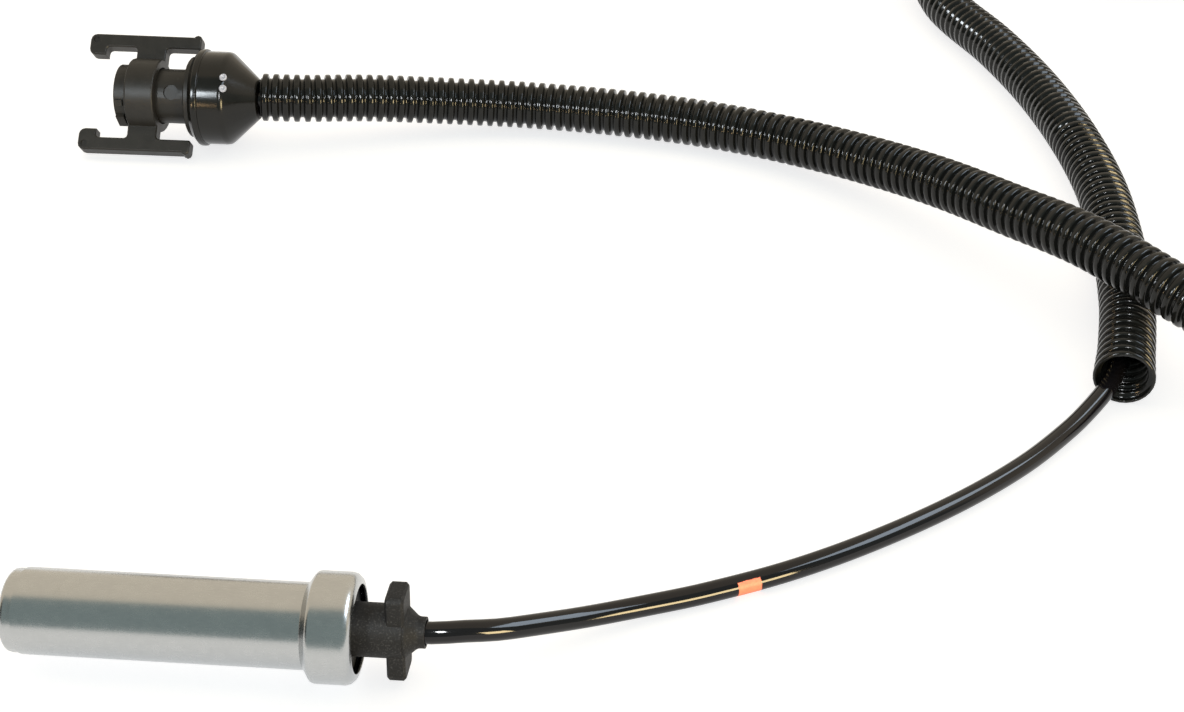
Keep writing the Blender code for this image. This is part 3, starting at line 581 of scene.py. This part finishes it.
def plug_plastic():
    """Matt dark plastic with a fine tool texture and a little wear."""
    f = Finish("plug_plastic", 0.5, shine=0.3)
    fine = f.noise(0.18 * MM, 3.0, 0.6)
    cloud = f.noise(3.0 * MM, 4.0, 0.6)
    tone = f.blend(cloud, (0.006, 0.0055, 0.0045), (0.014, 0.0125, 0.010))
    speck = f.ramp(f.noise(0.4 * MM, 3.0, 0.7), (0.62, 0.0), (0.74, 1.0))
    f.feed("Base Color", f.blend(speck * 0.35, tone, (0.07, 0.064, 0.056)))
    f.feed("Roughness", 0.30 + cloud * 0.18 + fine * 0.1)
    f.bump(fine * 0.7 + cloud * 0.3, 0.35, 0.04 * MM)
    return f.material


def boot_rubber():
    """Smooth moulded rubber with a soft sheen."""
    f = Finish("boot_rubber", 0.4, shine=0.29)
    cloud = f.noise(5.0 * MM, 3.0, 0.55)
    fine = f.noise(0.25 * MM, 2.0, 0.6)
    f.feed("Base Color", f.blend(cloud, (0.003, 0.003, 0.0025), (0.007, 0.0065, 0.0055)))
    f.feed("Roughness", 0.09 + cloud * 0.10 + fine * 0.05)
    f.bump(cloud * 0.6 + fine * 0.4, 0.18, 0.05 * MM)
    return f.material


def pip_painted_highlight():
    """The pips' glossy top, in a pale grey tone that is a painted highlight."""
    f = Finish("pip_painted_highlight", 0.2)
    fine = f.noise(0.5 * MM, 2.0)
    # Pale grey base colour: a painted highlight on the pips' tops
    f.feed("Base Color", f.blend(fine, (0.17, 0.17, 0.19), (0.40, 0.40, 0.43)))
    f.feed("Roughness", 0.14 + fine * 0.12)
    return f.material


def conduit_plastic():
    """Blown polyamide hose, semi-gloss, a little dusty in places."""
    f = Finish("conduit_plastic", 0.3, shine=0.26)
    cloud = f.noise(6.0 * MM, 3.0, 0.6)
    fine = f.noise(0.5 * MM, 3.0, 0.6)
    dust = f.ramp(f.noise(1.6 * MM, 4.0, 0.7), (0.56, 0.0), (0.72, 1.0))
    tone = f.blend(cloud, (0.003, 0.0031, 0.0028), (0.007, 0.0071, 0.0062))
    f.feed("Base Color", f.blend(dust * 0.15, tone, (0.04, 0.038, 0.034)))
    f.feed("Roughness", 0.09 + fine * 0.06 + dust * 0.10)
    f.bump(fine, 0.08, 0.05 * MM)
    return f.material


def cable_jacket():
    """Glossy black jacket with one painted mark on its front."""
    f = Finish("cable_jacket", 0.16, shine=0.34)
    wave = f.noise(6.0 * MM, 2.0)
    fine = f.noise(0.6 * MM, 3.0, 0.6)
    ragged = (f.noise(0.8 * MM, 3.0, 0.7) - 0.5) * (0.6 * MM)
    from_mark = f.node("ShaderNodeVectorMath", {"operation": "SUBTRACT"}, {0: f.place(), 1: PAINT_MARK})
    dot_product = {"operation": "DOT_PRODUCT"}
    along = f.node("ShaderNodeVectorMath", dot_product, {0: from_mark, 1: PAINT_MARK_ALONG}, "Value")
    facing = f.node("ShaderNodeVectorMath", dot_product, {0: from_mark, 1: PAINT_MARK_FACING}, "Value")
    away = f.node("ShaderNodeMath", {"operation": "ABSOLUTE"}, {0: along})
    in_length = f.fade(away + ragged, PAINT_MARK_HALF - PAINT_MARK_BLUR, PAINT_MARK_HALF + PAINT_MARK_BLUR)
    behind = f.fade(facing + ragged, -PAINT_MARK_BLUR, PAINT_MARK_BLUR)
    mark = in_length * (1.0 - behind)
    tone = f.blend(wave, (0.002, 0.0018, 0.0022), (0.004, 0.0036, 0.004))
    paint = f.blend(fine, (0.72, 0.12, 0.06), (0.88, 0.22, 0.11))
    f.feed("Base Color", f.blend(mark, tone, paint))
    f.feed("Roughness", 0.05 + fine * 0.05 + mark * 0.35)
    f.bump(wave * 0.8 + fine * 0.1 + mark * 0.4, 0.10, 0.1 * MM)
    return f.material


def seal_rubber():
    """Matt rubber of the seals."""
    f = Finish("seal_rubber", 0.6)
    fine = f.noise(0.4 * MM, 3.0)
    f.feed("Base Color", f.blend(fine, (0.03, 0.03, 0.03), (0.06, 0.06, 0.06)))
    f.bump(fine, 0.3, 0.05 * MM)
    return f.material


def inner_plastic():
    """Dark moulded plastic of the bobbin and the insulators."""
    f = Finish("inner_plastic", 0.5)
    fine = f.noise(0.3 * MM, 3.0)
    f.feed("Base Color", f.blend(fine, (0.05, 0.05, 0.052), (0.085, 0.085, 0.088)))
    f.feed("Roughness", 0.42 + fine * 0.16)
    f.bump(fine, 0.3, 0.04 * MM)
    return f.material


def core_jacket():
    """Satin insulation of the cable's two cores."""
    f = Finish("core_jacket", 0.4)
    wave = f.noise(3.0 * MM, 2.0)
    f.feed("Base Color", f.blend(wave, (0.42, 0.33, 0.20), (0.56, 0.46, 0.31)))
    f.bump(wave, 0.2, 0.05 * MM)
    return f.material


FINISHES = {
    "sleeve_steel": drawn_steel,
    "core_iron": plain_iron,
    "inner_plastic": inner_plastic,
    "winding_copper": winding_copper,
    "contact_brass": contact_brass,
    "core_jacket": core_jacket,
    "head_moulding": spark_moulding,
    "seal_rubber": seal_rubber,
    "cable_jacket": cable_jacket,
    "conduit_plastic": conduit_plastic,
    "boot_rubber": boot_rubber,
    "plug_plastic": plug_plastic,
}
# Width of the small round on a piece's sharp edges
EDGE_ROUNDS = {
    "sensor_sleeve": 0.1 * MM,
    "sensor_body": 0.15 * MM,
    "connector_boot": 0.2 * MM,
    "connector_shell": 0.15 * MM,
    "latch_ring": 0.15 * MM,
    "contact_insert": 0.1 * MM,
}
EDGE_ROUND_SEGMENTS = 2
SHARP_ANGLE = math.radians(35)
FLAT_ANGLE = math.radians(0.6)
CORNER_GAP = 0.002 * MM


def give_finish(piece, finish):
    piece.data.materials.clear()
    piece.data.materials.append(finish)


def smooth_cad_node(node, round_width):
    """Joins the facets' corners for shading, and rounds the sharp edges a little."""
    node.data.shade_smooth()
    weld = node.modifiers.new("joined_corners", "WELD")
    weld.merge_threshold = CORNER_GAP
    flat = node.modifiers.new("flat_faces", "DECIMATE")
    flat.decimate_type = "DISSOLVE"
    flat.angle_limit = FLAT_ANGLE
    if round_width:
        bevel = node.modifiers.new("rounded_edges", "BEVEL")
        bevel.width = round_width
        bevel.segments = EDGE_ROUND_SEGMENTS
        bevel.limit_method = "ANGLE"
        bevel.angle_limit = SHARP_ANGLE
        node.modifiers.new("even_shading", "WEIGHTED_NORMAL")
    else:
        split = node.modifiers.new("sharp_edges", "EDGE_SPLIT")
        split.split_angle = SHARP_ANGLE


def dress_nodes(finishes):
    """Gives each solid its finish, slot and soft edges."""
    for subpart in frame["record"]["subparts"]:
        node = frame["nodes"][subpart["node"]]
        give_finish(node, finishes[subpart["material_slot"]])
        if "custom_normal" in node.data.attributes:
            node.data.attributes.remove(node.data.attributes["custom_normal"])
        smooth_cad_node(node, EDGE_ROUNDS.get(subpart["node"], 0.0))


# Floor, room and lights, in metres and watts
FLOOR_HALF = 4.0
FLOOR_TONE = (0.60, 0.60, 0.60)
FLOOR_GLOW = (0.76, 0.76, 0.77)
FRONT_TONE = (0.305, 0.37, 0.36)
LEFT_TONE = (0.04, 0.05, 0.05)
BACK_TONE = (0.97, 0.86, 0.69)
FRONT_FADE = (-0.26, -0.10)
LEFT_FADE = (-0.72, -0.62)
PLUG_PLACE = (-60.0 * MM, 200.0 * MM, 13.0 * MM)
CABLE_PLACE = (110.0 * MM, 35.0 * MM, 2.0 * MM)
# Name, place, aim, width, height, watts, colour, whether it lights the steel
LIGHTS = [
    ("left_window", (-0.249, -0.291, 0.357), PLUG_PLACE, 0.08, 0.13, 2.2, (0.88, 0.95, 1.0), False),
    ("camera_window", (0.105, -0.235, 0.292), PLUG_PLACE, 0.05, 0.09, 1.1, (0.95, 0.97, 1.0), False),
    ("low_lamp", (-0.249, -0.394, 0.10), PLUG_PLACE, 0.04, 0.06, 0.3, (1.0, 0.66, 0.34), False),
    ("right_window", (0.50, 0.09, 0.47), CABLE_PLACE, 0.40, 0.20, 2.2, (0.70, 0.84, 1.0), True),
    ("right_lamp", (0.65, -0.54, 0.10), CABLE_PLACE, 0.24, 0.34, 8.0, (1.0, 0.78, 0.42), False),
]


def make_floor():
    """A pale floor with a faint glow of its own, so that its shadows stay light."""
    bm = bmesh.new()
    bmesh.ops.create_grid(bm, x_segments=1, y_segments=1, size=FLOOR_HALF)
    mesh = bpy.data.meshes.new("studio_floor")
    bm.to_mesh(mesh)
    bm.free()
    floor = bpy.data.objects.new("studio_floor", mesh)
    bpy.context.scene.collection.objects.link(floor)
    f = Finish("pale_floor", 0.7)
    f.feed("Base Color", (*FLOOR_TONE, 1.0))
    f.feed("Emission Color", (*FLOOR_GLOW, 1.0))
    f.feed("Emission Strength", 1.0)
    f.feed("Specular IOR Level", 0.1)
    give_finish(floor, f.material)
    return floor


def area_light(name, place, aim, width, height, power, colour, spared):
    """A small window or lamp, which leaves out the spared pieces."""
    data = bpy.data.lights.new(name, "AREA")
    data.shape = "RECTANGLE"
    data.size = width
    data.size_y = height
    data.energy = power
    data.color = colour
    light = bpy.data.objects.new(name, data)
    light.location = place
    light.rotation_mode = "QUATERNION"
    light.rotation_quaternion = (Vector(aim) - Vector(place)).to_track_quat("-Z", "Y")
    bpy.context.scene.collection.objects.link(light)
    left_out = bpy.data.collections.new(name + "_spares")
    for piece in spared:
        left_out.objects.link(piece)
    for item in left_out.collection_objects:
        item.light_linking.link_state = "EXCLUDE"
    light.light_linking.receiver_collection = left_out


def make_lights(floor, steel):
    """Small windows and lamps, and a room warm above and behind, dim in front and dark on the left."""
    for *settings, lights_steel in LIGHTS:
        area_light(*settings, [floor] if lights_steel else [floor, steel])
    world = bpy.data.worlds.new("studio")
    bpy.context.scene.world = world
    room = Nodes(world, "Background")
    direction = room.node("ShaderNodeTexCoord", {}, {}, "Generated")
    sideways = room.node("ShaderNodeSeparateXYZ", {}, {"Vector": direction}, "X")
    backward = room.node("ShaderNodeSeparateXYZ", {}, {"Vector": direction}, "Y")
    front = room.fade(backward, *FRONT_FADE)
    left = room.fade(sideways, *LEFT_FADE)
    ahead = room.blend(left, FRONT_TONE, LEFT_TONE)
    room.feed("Color", room.blend(front, BACK_TONE, ahead))


def make_camera():
    """The camera of the photograph."""
    data = bpy.data.cameras.new("photo_view")
    data.lens = CAMERA_LENS
    data.sensor_width = CAMERA_SENSOR
    data.clip_start = CAMERA_CLIP
    data.shift_x = CAMERA_SHIFT
    camera = bpy.data.objects.new("photo_view", data)
    camera.location = CAMERA_PLACE
    camera.rotation_euler = CAMERA_TURN
    bpy.context.scene.collection.objects.link(camera)
    bpy.context.scene.camera = camera


make_camera()
hose_line = conduit_line()
lead_line = cable_line(hose_line)
conduit = make_conduit(hose_line)
lead = make_cable(lead_line)
pips = make_pips()
finish_by_slot = {slot: make() for slot, make in FINISHES.items()}
dress_nodes(finish_by_slot)
give_finish(conduit, finish_by_slot["conduit_plastic"])
give_finish(lead, finish_by_slot["cable_jacket"])
give_finish(pips, pip_painted_highlight())
make_lights(make_floor(), frame["nodes"]["sensor_sleeve"])
bpy.context.scene.view_settings.view_transform = "Standard"
